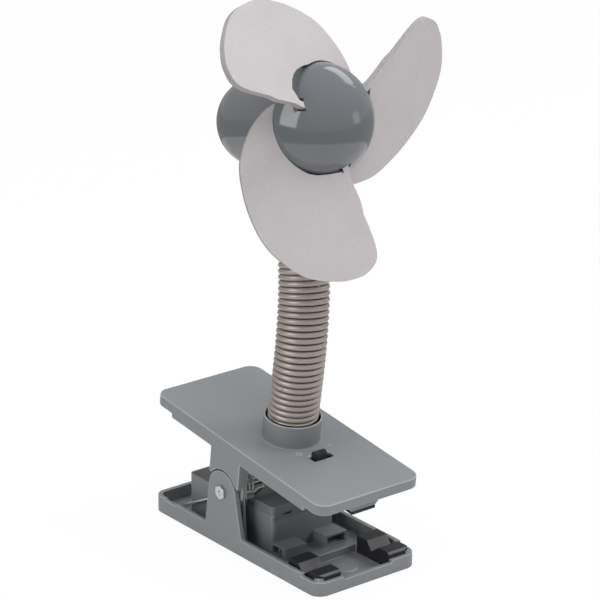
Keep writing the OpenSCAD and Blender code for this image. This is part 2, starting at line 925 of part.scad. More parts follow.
module neck_anchor() {
    a = joint_point(0);
    color([0.62, 0.61, 0.6])
    on_plate()
        translate([neck_x, 0, 0]) {
            translate([0, 0, nip])
                cylinder(anchor_flange, collar_bore - seat * 2, collar_bore - seat * 2);
            translate([0, 0, -anchor_stud + plate_thickness])
                cylinder(anchor_stud, anchor_bore, anchor_bore);
        }
    color([0.35, 0.34, 0.33])
    from_to(neck_start, a)
        translate([0, 0, unit / 2])
            barrel(norm(a - neck_start) - unit / 2, false, true);
}

module neck_nut() {
    color([0.7, 0.69, 0.66])
    on_plate()
        translate([neck_x, 0, -plate_thickness - nut_height])
            difference() {
                hexagon(nut_width, nut_height - nip / 5);
                translate([0, 0, -unit])
                    cylinder(wide, anchor_bore + nip / 2, anchor_bore + nip / 2);
            }
}

// neck coil, one unbroken wire
coil_start = anchor_flange + coil_wire + seat * 2;
coil_end = neck_length - coil_wire - seat * 6;
coil_rings = round((coil_end - coil_start) / coil_pitch * rings_per_curl);
coil_middle = coil_radius - coil_wire;
coil_path = [
    for (i = [0 : coil_rings])
        let (s = coil_start + (coil_end - coil_start) * i / coil_rings,
            d = slope_at(s / neck_length),
            n = carried([1, 0, 0], d),
            m = cross(d, n),
            a = 360 * i / rings_per_curl)
        along(s) + coil_middle * (cos(a) * n + sin(a) * m)
];
echo(neck_coil_gap = least_gap(coil_path, coil_wire));

module neck_coil() {
    color([0.55, 0.53, 0.50])
    wire(coil_path, coil_wire);
}

// head, drawn with its axis on +X from the hub's back
neck_top = path[path_steps];
neck_top_dir = slope_at(1);
housing_middle = neck_top + neck_top_dir * (housing_radius - seat);
head_dir = [cos(head_pitch) * cos(head_yaw), cos(head_pitch) * sin(head_yaw),
    sin(head_pitch)];
hub_back = housing_middle + head_dir * neck_to_hub;
echo(hub_back = hub_back, head_dir = head_dir);

module on_head() {
    translate(hub_back)
        rotate([0, -head_pitch, head_yaw])
            children();
}

module axis_cylinder(from, to, radius) {
    translate([from, 0, 0])
        rotate([0, 90, 0])
            cylinder(to - from, radius, radius);
}

dome_x = -neck_to_hub - neck_to_dome;
split_x = -neck_to_hub + coil_radius + unit;
inner_radius = housing_radius - housing_wall;
spigot = 2.4;
spigot_wall = housing_wall * 0.5;
can_front = -seam_gap - housing_wall - seat;
can_rear = can_front - can_length;
nose_radius = 4.5;
case_screw = 1.1;
case_screw_spot = inner_radius - case_screw * 1.1;
case_boss = case_screw * 1.9;
case_screw_depth = 1.5;

module housing_solid(radius) {
    translate([dome_x, 0, 0])
        sphere(radius, $fn = 96);
    axis_cylinder(dome_x, -seam_gap, radius);
}

module case_screw_places() {
    for (a = [90, 210, 330])
        rotate([a, 0, 0])
            translate([0, case_screw_spot - case_boss * 0.4, 0])
                children();
}

module housing_rear() {
    color([0.43, 0.45, 0.47])
    on_head()
        difference() {
            intersection() {
                housing_solid(housing_radius);
                slab([-wide, -wide, -wide], [split_x, wide, wide]);
            }
            difference() {
                union() {
                    translate([dome_x, 0, 0])
                        sphere(inner_radius, $fn = 96);
                    axis_cylinder(dome_x, 0, inner_radius);
                }
                case_screw_places()
                    axis_cylinder(split_x - case_screw_depth * 4, split_x, case_boss);
                // ring that carries the motor can
                difference() {
                    axis_cylinder(can_rear + can_length * 0.3,
                        can_rear + can_length * 0.42, housing_radius);
                    axis_cylinder(-wide, wide, can_radius + nip);
                }
            }
            axis_cylinder(split_x - spigot, wide, inner_radius + spigot_wall);
            axis_cylinder(can_rear - unit, wide, can_radius + nip);
            case_screw_places()
                axis_cylinder(split_x - case_screw_depth * 3, wide, case_screw / 2 + nip);
        }
}

module housing_front() {
    color([0.43, 0.45, 0.47])
    on_head()
        difference() {
            union() {
                difference() {
                    axis_cylinder(split_x + nip, -seam_gap, housing_radius);
                    axis_cylinder(-wide, -seam_gap - housing_wall, inner_radius);
                }
                difference() {
                    axis_cylinder(split_x - spigot + seat, split_x + unit,
                        inner_radius + spigot_wall - nip);
                    axis_cylinder(-wide, wide, inner_radius);
                }
                // ring that carries the can's front
                difference() {
                    axis_cylinder(-seam_gap - housing_wall - spigot,
                        -seam_gap - housing_wall + nip, can_radius + housing_wall);
                    axis_cylinder(-wide, wide, can_radius + nip);
                }
                case_screw_places()
                    axis_cylinder(split_x + nip, -seam_gap - nip, case_boss);
            }
            axis_cylinder(-wide, wide, nose_radius);
            case_screw_places() {
                axis_cylinder(-wide, wide, case_screw / 2 + nip);
                axis_cylinder(-seam_gap - case_screw_depth, wide, case_screw + seat);
            }
            axis_cylinder(-wide, can_front + nip / 2, can_radius + nip);
        }
}

module housing_screws() {
    color([0.7, 0.7, 0.69])
    on_head()
        case_screw_places() {
            axis_cylinder(-seam_gap - case_screw_depth + nip,
                -seam_gap - seat, case_screw);
            axis_cylinder(split_x - case_screw_depth * 2.6,
                -seam_gap - case_screw_depth + seat, case_screw / 2);
        }
}

// motor
can_wall = 1;
bearing_radius = 3.2;
bearing_length = 2.6;
bell_length = 4;
magnet_in = can_radius * 0.74;

module motor_can() {
    color([0.66, 0.66, 0.65])
    on_head()
        difference() {
            union() {
                axis_cylinder(can_rear + bell_length, can_front, can_radius);
                axis_cylinder(can_front - nip, can_front + unit, bearing_radius);
            }
            axis_cylinder(can_rear - unit, can_front - bearing_length, magnet_in);
            axis_cylinder(-wide, wide, shaft_radius + shaft_gap);
        }
}

module motor_end_bell() {
    color([0.16, 0.16, 0.17])
    on_head()
        difference() {
            union() {
                axis_cylinder(can_rear, can_rear + bell_length - nip / 5, can_radius);
                axis_cylinder(can_rear + bell_length - unit,
                    can_rear + bell_length + unit, magnet_in - seat);
            }
            axis_cylinder(can_rear + can_wall * 2, wide, magnet_in * 0.75);
            axis_cylinder(can_rear + can_wall, wide, shaft_radius + shaft_gap);
        }
}

module motor_shaft() {
    color([0.72, 0.72, 0.71])
    on_head()
        axis_cylinder(can_rear + can_wall + seat, hub_height * 0.62, shaft_radius);
}

pole_count = 3;
pole_room_rear = 6;
pole_room_front = 3;
pole_gap = 0.4;
pole_rear = can_rear + bell_length + pole_room_rear;
pole_front = can_front - bearing_length - pole_room_front;
pole_radius = magnet_in - pole_gap;
pole_stem = 1.3;
pole_shoe = 1.5;
commutator_radius = 2.6;
commutator_length = 4;

module armature() {
    color([0.36, 0.3, 0.24])
    on_head()
        difference() {
            union() {
                intersection() {
                    axis_cylinder(pole_rear, pole_front, pole_radius);
                    union() {
                        for (i = [0 : pole_count - 1])
                            rotate([360 * i / pole_count, 0, 0]) {
                                slab([pole_rear, 0, -pole_stem],
                                    [pole_front, pole_radius, pole_stem]);
                                slab([pole_rear, pole_radius - pole_shoe,
                                    -pole_radius * 0.66],
                                    [pole_front, wide, pole_radius * 0.66]);
                            }
                        axis_cylinder(pole_rear, pole_front, pole_radius * 0.42);
                    }
                }
                axis_cylinder(pole_rear - commutator_length, pole_rear + nip,
                    commutator_radius);
            }
            axis_cylinder(-wide, wide, shaft_radius + nip / 5);
        }
}

// hub
dome_sphere = (hub_radius * hub_radius + hub_height * hub_height) / (2 * hub_height);
hub_plate = 1.2;
hub_plate_radius = hub_radius * 0.58;
boss_height_hub = hub_height - dome_sphere - nip
    + sqrt((dome_sphere - hub_wall) * (dome_sphere - hub_wall) - boss_radius * boss_radius);
hub_screw_gap = 0.02;

module blade_places() {
    for (k = [0 : 2])
        blade_place(k)
            children();
}

// outline of one blade as shares of its reach: outward and across
blade_shares = [
    [0.007, 0.016], [0.200, -0.070], [0.343, -0.103], [0.428, -0.137],
    [0.501, -0.170], [0.577, -0.189], [0.661, -0.225], [0.778, -0.268],
    [0.861, -0.275], [0.919, -0.242], [0.964, -0.187], [0.988, -0.111],
    [0.998, -0.046], [0.995, 0.063], [0.977, 0.164], [0.935, 0.252],
    [0.879, 0.331], [0.816, 0.403], [0.734, 0.466], [0.637, 0.517],
    [0.517, 0.563], [0.371, 0.595], [0.272, 0.601], [0.199, 0.586],
    [0.108, 0.558], [0.026, 0.515], [-0.053, 0.450], [-0.105, 0.375],
    [-0.128, 0.277], [-0.123, 0.185]
];

function eased(a, b, c, d, t) = (2 * b + (c - a) * t
    + (2 * a - 5 * b + 4 * c - d) * t * t + (3 * b - a - 3 * c + d) * t * t * t) / 2;
blade_points = len(blade_shares);
steps_between = 3;

module blade_outline() {
    polygon([
        for (i = [0 : blade_points - 1], k = [0 : steps_between - 1])
            blade_reach * eased(blade_shares[(i + blade_points - 1) % blade_points],
                blade_shares[i], blade_shares[(i + 1) % blade_points],
                blade_shares[(i + 2) % blade_points], k / steps_between)
    ]);
}

module blade_place(k) {
    translate([blade_station, 0, 0])
        rotate([blade_turn - 120 * k, 0, 0])
            rotate([0, blade_pitch - 90, 0])
                rotate([0, 0, 90])
                    children();
}

// straight slots that the blades stand in
slot_inner_share = -0.145;
slot_edge_share = -0.105;

module blade_cutter() {
    blade_places()
        slab([blade_reach * slot_inner_share, blade_reach * slot_edge_share,
            -blade_thickness / 2 - seat],
            [blade_reach, blade_reach, blade_thickness / 2 + seat]);
}

module dome_profile() {
    intersection() {
        difference() {
            translate([0, hub_height - dome_sphere])
                circle(dome_sphere);
            translate([0, hub_height - dome_sphere])
                circle(dome_sphere - hub_wall);
        }
        square(wide);
    }
}

module hub_dome() {
    color([0.41, 0.44, 0.46])
    on_head()
        difference() {
            rotate([0, 90, 0])
                rotate_extrude($fn = 120)
                    dome_profile();
            blade_cutter();
        }
}

module hub_core() {
    color([0.3, 0.31, 0.33])
    on_head()
        difference() {
            union() {
                axis_cylinder(0, hub_plate, hub_plate_radius);
                axis_cylinder(0, boss_height_hub, boss_radius);
            }
            axis_cylinder(-unit, hub_height * 0.62 + seat, shaft_radius + hub_screw_gap);
        }
}

module blade(k) {
    color([0.74, 0.72, 0.72])
    on_head()
        difference() {
            blade_place(k)
                translate([0, 0, -blade_thickness / 2])
                    linear_extrude(blade_thickness)
                        blade_outline();
            axis_cylinder(-wide, wide, boss_radius + seat * 2);
        }
}

module blade_1() { blade(0); }
module blade_2() { blade(1); }
module blade_3() { blade(2); }

// neck cap, cut to the housing's round wall
cap_flange = 1.6;

module neck_cap() {
    a = joint_point(5);
    color([0.35, 0.34, 0.33])
    difference() {
        union() {
            from_to(a, neck_top + neck_top_dir)
                barrel(norm(neck_top + neck_top_dir - a) + unit, true, false);
            translate(neck_top)
                from_to([0, 0, 0], neck_top_dir)
                    translate([0, 0, -seat * 4])
                        cylinder(cap_flange * 2, link_radius + unit, link_radius + unit);
        }
        on_head()
            housing_solid(housing_radius + nip);
    }
}

lower_jaw();
battery_near();
battery_far();
contact_springs();
contact_plates();
battery_lid();
grip_pad_near();
grip_pad_far();
hinge_bolt();
hinge_nut();
clip_spring();
upper_jaw();
tongue_pad();
switch_body();
switch_screws();
switch_knob();
neck_anchor();
neck_nut();
neck_coil();
neck_link_1();
neck_link_2();
neck_link_3();
neck_link_4();
neck_link_5();
neck_cap();
housing_rear();
housing_front();
housing_screws();
motor_can();
motor_end_bell();
motor_shaft();
armature();
hub_core();
hub_dome();
blade_1();
blade_2();
blade_3();
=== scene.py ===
"""Clip fan: the finishes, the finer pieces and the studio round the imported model.

Lengths are millimetres, as in the part's source, and MILLI makes them metres. The studio,
the merging distances and the depths of bumps are metres from the start.
"""
import json
import math

import bmesh
import bpy
import numpy as np
from mathutils import Matrix, Vector


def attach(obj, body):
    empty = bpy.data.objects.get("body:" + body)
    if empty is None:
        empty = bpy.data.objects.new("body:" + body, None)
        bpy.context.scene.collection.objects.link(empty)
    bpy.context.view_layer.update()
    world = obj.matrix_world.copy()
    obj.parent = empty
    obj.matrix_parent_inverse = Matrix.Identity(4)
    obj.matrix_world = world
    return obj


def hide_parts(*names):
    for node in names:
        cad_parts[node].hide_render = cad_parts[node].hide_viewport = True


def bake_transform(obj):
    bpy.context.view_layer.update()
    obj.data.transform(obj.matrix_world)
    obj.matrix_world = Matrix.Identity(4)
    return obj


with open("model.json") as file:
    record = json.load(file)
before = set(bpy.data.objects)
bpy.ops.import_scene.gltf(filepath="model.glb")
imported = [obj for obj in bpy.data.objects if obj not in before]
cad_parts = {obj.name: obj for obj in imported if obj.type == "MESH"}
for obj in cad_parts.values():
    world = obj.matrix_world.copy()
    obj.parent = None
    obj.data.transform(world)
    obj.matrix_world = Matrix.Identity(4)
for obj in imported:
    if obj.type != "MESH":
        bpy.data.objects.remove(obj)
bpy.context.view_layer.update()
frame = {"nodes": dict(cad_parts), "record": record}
MILLI = 0.001
RECORD = frame["record"]
SLOT_OF = {row["node"]: row["material_slot"] for row in RECORD["subparts"]}
BODY_OF = {node: body for body, nodes in RECORD["behaviour"]["bodies"].items() for node in nodes}
JOINTS = {row["name"]: row for row in RECORD["behaviour"]["joints"]}


# Places shared with the solids
HINGE_X, HINGE_Z = (JOINTS["clip_hinge"]["pos_m"][axis] / MILLI for axis in (0, 2))
HUB_BACK = Vector(JOINTS["fan_spin"]["pos_m"]) / MILLI
PLATE_X, PLATE_Z, PLATE_TILT = 2.46, 47.34, math.radians(7.2)
JAW_FLOOR = 1.5
NECK_X, NECK_LENGTH = 3.2, 114.92
COIL_RADIUS, COIL_PITCH = 10.6, 2.5
ANCHOR_FLANGE = 1.4
NECK_JOINTS, JOINT_FIRST, JOINT_STEP = 6, 16.0, 17.0
HEAD_PITCH, HEAD_YAW = math.radians(13.59), math.radians(2.01)
HUB_RADIUS, HUB_HEIGHT, HUB_WALL = 23.5, 20.4, 1.6
REAR_DOME_X = -37.1
BLADE_STATION, BLADE_PITCH, BLADE_TURN = 8.6, math.radians(24.1), math.radians(138.6)

# The neck's middle line: its sideways slopes at these shares of its length
SHARES = np.array([0, 14, 26, 38, 50, 62, 84, 106]) / 106
SLOPE_X = [0.122, 0.136, 0.084, -0.022, -0.118, -0.181, -0.221, -0.243]
SLOPE_Y = [0, 0.036, 0.077, 0.123, 0.161, 0.146, 0.072, -0.021]
PATH_STEPS = 460


def unit(v):
    v = np.asarray(v, float)
    return v / np.linalg.norm(v)


def on_plate(x, y, z):
    """A point of the upper plate's own frame, in the row frame."""
    c, s = math.cos(PLATE_TILT), math.sin(PLATE_TILT)
    return (PLATE_X + x * c + z * s, y, PLATE_Z - x * s + z * c)


def neck_line():
    """The neck's middle line as points, from the plate upwards."""
    points = [np.array(on_plate(NECK_X, 0, 0))]
    for k in range(PATH_STEPS):
        share = (k + 0.5) / PATH_STEPS
        slope = unit([np.interp(share, SHARES, SLOPE_X), np.interp(share, SHARES, SLOPE_Y), 1])
        points.append(points[-1] + slope * NECK_LENGTH / PATH_STEPS)
    return points


NECK_LINE = neck_line()


def along_neck(distance):
    """The point of the middle line at a distance from the plate."""
    step = distance / NECK_LENGTH * PATH_STEPS
    k = int(min(max(step, 0), PATH_STEPS - 1))
    return NECK_LINE[k] + (step - k) * (NECK_LINE[k + 1] - NECK_LINE[k])


HEAD = (Matrix.Translation(HUB_BACK) @ Matrix.Rotation(HEAD_YAW, 4, "Z")
        @ Matrix.Rotation(-HEAD_PITCH, 4, "Y"))


def blade_frame(number):
    """From a blade's own plane, outward and across, to the row frame."""
    turn = BLADE_TURN - math.tau / 3 * (number - 1)
    return (HEAD @ Matrix.Translation((BLADE_STATION, 0, 0)) @ Matrix.Rotation(turn, 4, "X")
            @ Matrix.Rotation(BLADE_PITCH - math.pi / 2, 4, "Y") @ Matrix.Rotation(math.pi / 2, 4, "Z"))


# Camera
CAMERA_AZIMUTH, CAMERA_LIFT = math.radians(51.96), math.radians(20.37)
CAMERA_AWAY, CAMERA_LENS, CAMERA_SENSOR = 1297.93, 187.08, 36
# The middle of the picture, from the origin to the camera's right and upwards
AIM_RIGHT, AIM_UP = 7.17, 98.30
# How far the camera sees, in metres
SIGHT_END = 20


def add_camera():
    azimuth, lift = CAMERA_AZIMUTH, CAMERA_LIFT
    right = Vector((math.cos(azimuth), math.sin(azimuth), 0))
    back = Vector((math.sin(azimuth) * math.cos(lift), -math.cos(azimuth) * math.cos(lift), math.sin(lift)))
    up = back.cross(right)
    place = (right * AIM_RIGHT + up * AIM_UP + back * CAMERA_AWAY) * MILLI
    data = bpy.data.cameras.new("camera")
    data.sensor_width = CAMERA_SENSOR
    data.lens = CAMERA_LENS
    data.clip_end = SIGHT_END
    camera = bpy.data.objects.new("camera", data)
    camera.matrix_world = Matrix.Translation(place) @ Matrix((right, up, back)).transposed().to_4x4()
    bpy.context.scene.collection.objects.link(camera)
    bpy.context.scene.camera = camera


# Node trees, written as sums
class Signal:
    """A node's socket that takes part in sums."""

    def __init__(self, nodes, socket):
        self.nodes, self.socket = nodes, socket

    def math(self, operation, other=0.0):
        return self.nodes.add("ShaderNodeMath", {"operation": operation}, {0: self, 1: other})

    def __add__(self, other):
        return self.math("ADD", other)

    def __sub__(self, other):
        return self.math("SUBTRACT", other)

    def __mul__(self, other):
        return self.math("MULTIPLY", other)

    def __truediv__(self, other):
        return self.math("DIVIDE", other)


class Nodes:
    """A node tree whose nodes come from one method."""

    def __init__(self, tree):
        self.tree = tree
        tree.nodes.clear()

    def add(self, kind, settings=None, inputs=None, out=0):
        node = self.tree.nodes.new(kind)
        for name, value in (settings or {}).items():
            setattr(node, name, value)
        for name, value in (inputs or {}).items():
            if isinstance(value, Signal):
                self.tree.links.new(value.socket, node.inputs[name])
            else:
                node.inputs[name].default_value = value
        return Signal(self, node.outputs[out]) if len(node.outputs) else None

    def vector(self, operation, first, second):
        return self.add("ShaderNodeVectorMath", {"operation": operation}, {0: first, 1: second})

    def scaled(self, vector, factor):
        return self.add("ShaderNodeVectorMath", {"operation": "SCALE"}, {0: vector, "Scale": factor})

    def ray(self, kind):
        return self.add("ShaderNodeLightPath", out=f"Is {kind} Ray")


class Finish(Nodes):
    """A material's nodes."""

    def __init__(self, name):
        self.material = bpy.data.materials.new(name)
        self.material.use_nodes = True
        super().__init__(self.material.node_tree)

    def place(self):
        return self.add("ShaderNodeTexCoord", out="Object")

    def noise(self, scale, detail, rough=0.5, seed=0.0):
        return self.add("ShaderNodeTexNoise", {"noise_dimensions": "4D"},
                        {"Vector": self.place(), "Scale": scale, "Detail": detail, "Roughness": rough,
                         "W": seed})

    def mix(self, factor, low, high):
        node = self.tree.nodes.new("ShaderNodeMix")
        node.data_type = "RGBA"
        for name, value in (("Factor", factor), ("A", low), ("B", high)):
            kind = "VALUE" if name == "Factor" else "RGBA"
            socket = next(s for s in node.inputs if s.name == name and s.type == kind)
            if isinstance(value, Signal):
                self.tree.links.new(value.socket, socket)
            else:
                socket.default_value = value
        return Signal(self, next(s for s in node.outputs if s.type == "RGBA"))

    def bump(self, height, strength, depth):
        """Fine relief, its depth in metres."""
        return self.add("ShaderNodeBump", inputs={"Strength": strength, "Distance": depth, "Height": height})

    def close(self, **inputs):
        named = {name.replace("_", " "): value for name, value in inputs.items()}
        surface = self.add("ShaderNodeBsdfPrincipled", inputs=named)
        self.add("ShaderNodeOutputMaterial", inputs={"Surface": surface})
        return self.material


def shade(code, lift=1.0):
    """A screen colour as linear light."""
    parts = [int(code[i:i + 2], 16) / 255 for i in (0, 2, 4)]
    line = [p / 12.92 if p <= 0.04045 else ((p + 0.055) / 1.055) ** 2.4 for p in parts]
    return (*[min(p * lift, 1.0) for p in line], 1.0)


def grey(level):
    return (level, level, level, 1.0)


# Finishes
def moulded(name, code, roughness, grain=0.25, flake=0.06):
    """Moulded plastic: slow tone changes, a fine spark grain and a little wear in its gloss."""
    f = Finish(name)
    tone = f.noise(22.0, 3.0)
    fine = f.noise(1500.0, 2.0, 0.7, seed=3.0)
    colour = f.mix(tone * 1.4 - 0.2, shade(code, 0.94), shade(code, 1.05))
    colour = f.mix((fine - 0.5) * 2.2 * flake + flake, colour, shade(code, 1.9))
    gloss = tone * 0.10 + (fine * 0.06 + (roughness - 0.08))
    return f.close(Base_Color=colour, Roughness=gloss, Normal=f.bump(fine, grain, 0.00012))


def polished(name, code):
    """Glossy moulding with a barely uneven skin."""
    f = Finish(name)
    slow = f.noise(26.0, 2.0)
    skin = f.noise(160.0, 1.0, 0.4, seed=5.0)
    colour = f.mix(slow, shade(code, 0.95), shade(code, 1.06))
    return f.close(Base_Color=colour, Roughness=slow * 0.04 + 0.07, Normal=f.bump(skin, 0.02, 0.0002),
                   Specular_IOR_Level=0.95)


def foam(name, code):
    """Soft closed-cell foam: fine cells, mottled tone, no gloss."""
    f = Finish(name)
    cells = f.add("ShaderNodeTexVoronoi", inputs={"Vector": f.place(), "Scale": 1900.0})
    fine = f.noise(1200.0, 3.0, 0.65)
    cloud = f.noise(55.0, 4.0, 0.6, seed=2.0)
    colour = f.mix(cloud * 1.3 - 0.15, shade(code, 0.93), shade(code, 1.05))
    colour = f.mix((fine - 0.38) * 0.9, colour, shade(code, 0.72))
    relief = f.bump(cells * 0.5 + fine * 0.8, 0.35, 0.00018)
    return f.close(Base_Color=colour, Roughness=fine * 0.12 + 0.84, Normal=relief, Specular_IOR_Level=0.25)


def metal(name, code, roughness):
    """Plated or ground metal with fine streaks and dull spots."""
    f = Finish(name)
    fine = f.noise(900.0, 3.0, 0.6)
    spots = f.noise(120.0, 3.0, seed=4.0)
    colour = f.mix(spots, shade(code, 0.85), shade(code, 1.08))
    gloss = fine * 0.12 + spots * 0.1 + (roughness - 0.11)
    return f.close(Base_Color=colour, Metallic=1.0, Roughness=gloss, Normal=f.bump(fine, 0.08, 0.0001))


def rubber(name, code):
    """Dull rubber with a little pale dust."""
    f = Finish(name)
    fine = f.noise(1300.0, 3.0, 0.7)
    dust = f.noise(140.0, 4.0, 0.7, seed=7.0)
    colour = f.mix((dust - 0.45) * 0.5, shade(code), shade(code, 2.4))
    return f.close(Base_Color=colour, Roughness=fine * 0.15 + 0.5, Normal=f.bump(fine, 0.3, 0.00012))


def pearl(name, code):
    """The neck's coating: half metallic, with a soft pearly drift of tone."""
    f = Finish(name)
    drift = f.noise(40.0, 2.0)
    fine = f.noise(1600.0, 2.0, 0.6, seed=1.0)
    colour = f.mix(drift, shade(code, 0.88), shade(code, 1.12))
    return f.close(Base_Color=colour, Metallic=drift * 0.1 + 0.5, Roughness=fine * 0.1 + 0.33,
                   Normal=f.bump(fine, 0.08, 0.0001))


# Where a cell's copper-coloured end begins
BAND_X = -2.0


def sleeve(name):
    """A cell's glossy sleeve: plain blue, and copper-coloured before a place on its length."""
    f = Finish(name)
    length = f.add("ShaderNodeSeparateXYZ", inputs={"Vector": f.place()})
    band = length.math("GREATER_THAN", BAND_X * MILLI)
    slow = f.noise(60.0, 2.0)
    colour = f.mix(band, shade("26466f"), shade("8a5a3c"))
    return f.close(Base_Color=colour, Roughness=slow * 0.08 + 0.22)


FINISHES = {
    "clip_plastic": moulded("clip_plastic", "7b7e81", 0.46, grain=0.32),
    "lid_plastic": moulded("lid_plastic", "6c6f72", 0.48, grain=0.28),
    "housing_plastic": polished("housing_plastic", "606367"),
    "blade_foam": foam("blade_foam", "bebabb"),
    "coil_coating": pearl("coil_coating", "aea49e"),
    "link_plastic": moulded("link_plastic", "2c2a29", 0.6),
    "pad_rubber": rubber("pad_rubber", "1d1d20"),
    "switch_plastic": moulded("switch_plastic", "1d1d20", 0.38, grain=0.2),
    "core_plastic": moulded("core_plastic", "4a4d50", 0.5),
    "bell_plastic": moulded("bell_plastic", "202022", 0.5),
    "bolt_metal": metal("bolt_metal", "d2d2cf", 0.22),
    "spring_wire": metal("spring_wire", "e6e5e0", 0.42),
    "contact_metal": metal("contact_metal", "cbc6b4", 0.3),
    "can_metal": metal("can_metal", "b4b4b0", 0.32),
    "armature_metal": metal("armature_metal", "7a6450", 0.45),
    "shaft_metal": metal("shaft_metal", "c2c2be", 0.2),
    "cell_sleeve": sleeve("cell_sleeve"),
}
# Lighter and glossier than the jaws and the lid: a painted highlight along their rounded edges.
CLIP_EDGE_HIGHLIGHT = moulded("clip_edge_highlight", "969a9d", 0.32, grain=0.12)
LID_EDGE_HIGHLIGHT = moulded("lid_edge_highlight", "8a8d90", 0.38, grain=0.12)
FOAM_EDGE = foam("blade_foam_edge", "a09d9e")
# Lighter rubber for the pads' slopes that face forwards and up: a painted highlight of the light from the
# front and above.
PADS_PAINTED_HIGHLIGHT = rubber("pad_rubber_painted_highlight", "626366")
MARK = moulded("mark_paint", "a9abad", 0.6, grain=0.1, flake=0.0)


# Making pieces

# Points closer than this are merged, in a solid's copy and after a cut.
MERGE, CUT_MERGE = 2e-6, 1.5e-4


def new_piece(name, mesh, *finishes):
    piece = bpy.data.objects.new(name, mesh)
    bpy.context.scene.collection.objects.link(piece)
    for finish in finishes:
        mesh.materials.append(finish)
    return piece


def plain_mesh(holder):
    """A plain mesh of an object as its modifiers or its curve's thickness shape it."""
    bpy.context.view_layer.update()
    return bpy.data.meshes.new_from_object(holder.evaluated_get(bpy.context.evaluated_depsgraph_get()))


def freeze(piece):
    """Applies a piece's modifiers."""
    mesh, old = plain_mesh(piece), piece.data
    piece.modifiers.clear()
    piece.data = mesh
    bpy.data.meshes.remove(old)


def from_curve(holder, finish):
    """A piece with the mesh of a curve, which is removed."""
    mesh, curve, name = plain_mesh(holder), holder.data, holder.name
    bpy.data.objects.remove(holder)
    bpy.data.curves.remove(curve)
    mesh.materials.clear()
    return new_piece(name, mesh, finish)


def curve_holder(name, outlines, closed=False):
    """A curve through points in mm, straight from one to the next."""
    data = bpy.data.curves.new(name, "CURVE")
    data.dimensions = "3D"
    for points in outlines:
        spline = data.splines.new("POLY")
        spline.points.add(len(points) - 1)
        spline.use_cyclic_u = closed
        for spot, place in zip(spline.points, points):
            spot.co = (*(Vector(place) * MILLI), 1)
    holder = bpy.data.objects.new(name, data)
    bpy.context.scene.collection.objects.link(holder)
    return holder


def smooth(mesh, degrees=35):
    mesh.shade_smooth()
    mesh.set_sharp_from_angle(angle=math.radians(degrees))


def clean(mesh, merge, flat=1.0):
    """Merges a mesh's doubles and joins faces that are level to within some degrees."""
    shape = bmesh.new()
    shape.from_mesh(mesh)
    bmesh.ops.remove_doubles(shape, verts=shape.verts, dist=merge)
    bmesh.ops.dissolve_limit(shape, angle_limit=math.radians(flat), verts=shape.verts, edges=shape.edges)
    shape.to_mesh(mesh)
    shape.free()


def closed_mesh(name, shape, place):
    """Ends a closed shape in mm: its faces are turned outwards and it is put in its place."""
    bmesh.ops.recalc_face_normals(shape, faces=shape.faces)
    mesh = bpy.data.meshes.new(name)
    shape.to_mesh(mesh)
    shape.free()
    mesh.transform(Matrix.Scale(MILLI, 4) @ place)
    return mesh


def prism(name, outline, half, place):
    """A closed prism over an outline, as thick above it as below, as a cutter."""
    shape = bmesh.new()
    lower = [shape.verts.new((x, y, -half)) for x, y in outline]
    upper = [shape.verts.new((x, y, half)) for x, y in outline]
    shape.faces.new(lower)
    shape.faces.new(upper)
    for k in range(len(outline)):
        m = (k + 1) % len(outline)
        shape.faces.new((lower[k], lower[m], upper[m], upper[k]))
    return new_piece(name, closed_mesh(name, shape, place))


def cut_away(piece, cutters):
    """Takes closed cutters out of a piece and removes them."""
    for cutter in cutters:
        cut = piece.modifiers.new("cut", "BOOLEAN")
        cut.operation = "DIFFERENCE"
        cut.solver = "EXACT"
        cut.object = cutter
    freeze(piece)
    for cutter in cutters:
        mesh = cutter.data
        bpy.data.objects.remove(cutter)
        bpy.data.meshes.remove(mesh)


def stands_for(piece, node):
    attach(piece, BODY_OF[node])
    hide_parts(node)


# Rounded edges

# The two jaws keep the whole width of their rounding, which their small steps would shrink to
# nothing. On the lower jaw the box and its sockets, inside these limits, stay nearly sharp.
FULL_WIDTH = ("lower_jaw", "upper_jaw")
BOX_SIDE, BOX_REAR, BOX_FRONT = 18.5, -50.0, 33.0
INNER_WEIGHT = 0.1
ROUNDING = {
    "lower_jaw": 0.3, "upper_jaw": 0.42, "battery_lid": 0.4, "grip_pad_near": 0.35,
    "grip_pad_far": 0.35, "tongue_pad": 0.3, "switch_knob": 0.22, "hinge_bolt": 0.18,
    "hinge_nut": 0.18,
}
# These pieces' rounded faces take a lighter finish, a painted highlight along the edges.
EDGE_HIGHLIGHTS = {"lower_jaw": CLIP_EDGE_HIGHLIGHT, "upper_jaw": CLIP_EDGE_HIGHLIGHT, "battery_lid": LID_EDGE_HIGHLIGHT}
# A pad's slope with a painted highlight faces forwards and upwards by at least this much.
SLOPE_FORWARD, SLOPE_UP = 0.45, 0.3


def weigh_edges(mesh, degrees):
    """Gives the lower jaw's sharp edges their share of the rounding."""
    shape = bmesh.new()
    shape.from_mesh(mesh)
    weight = shape.edges.layers.float.new("bevel_weight_edge")
    for edge in shape.edges:
        middle = (edge.verts[0].co + edge.verts[1].co) / 2 / MILLI
        outside = abs(middle.y) > BOX_SIDE or not BOX_REAR < middle.x < BOX_FRONT
        if edge.calc_face_angle(0) > math.radians(degrees):
            edge[weight] = 1.0 if outside else INNER_WEIGHT
    shape.to_mesh(mesh)
    shape.free()


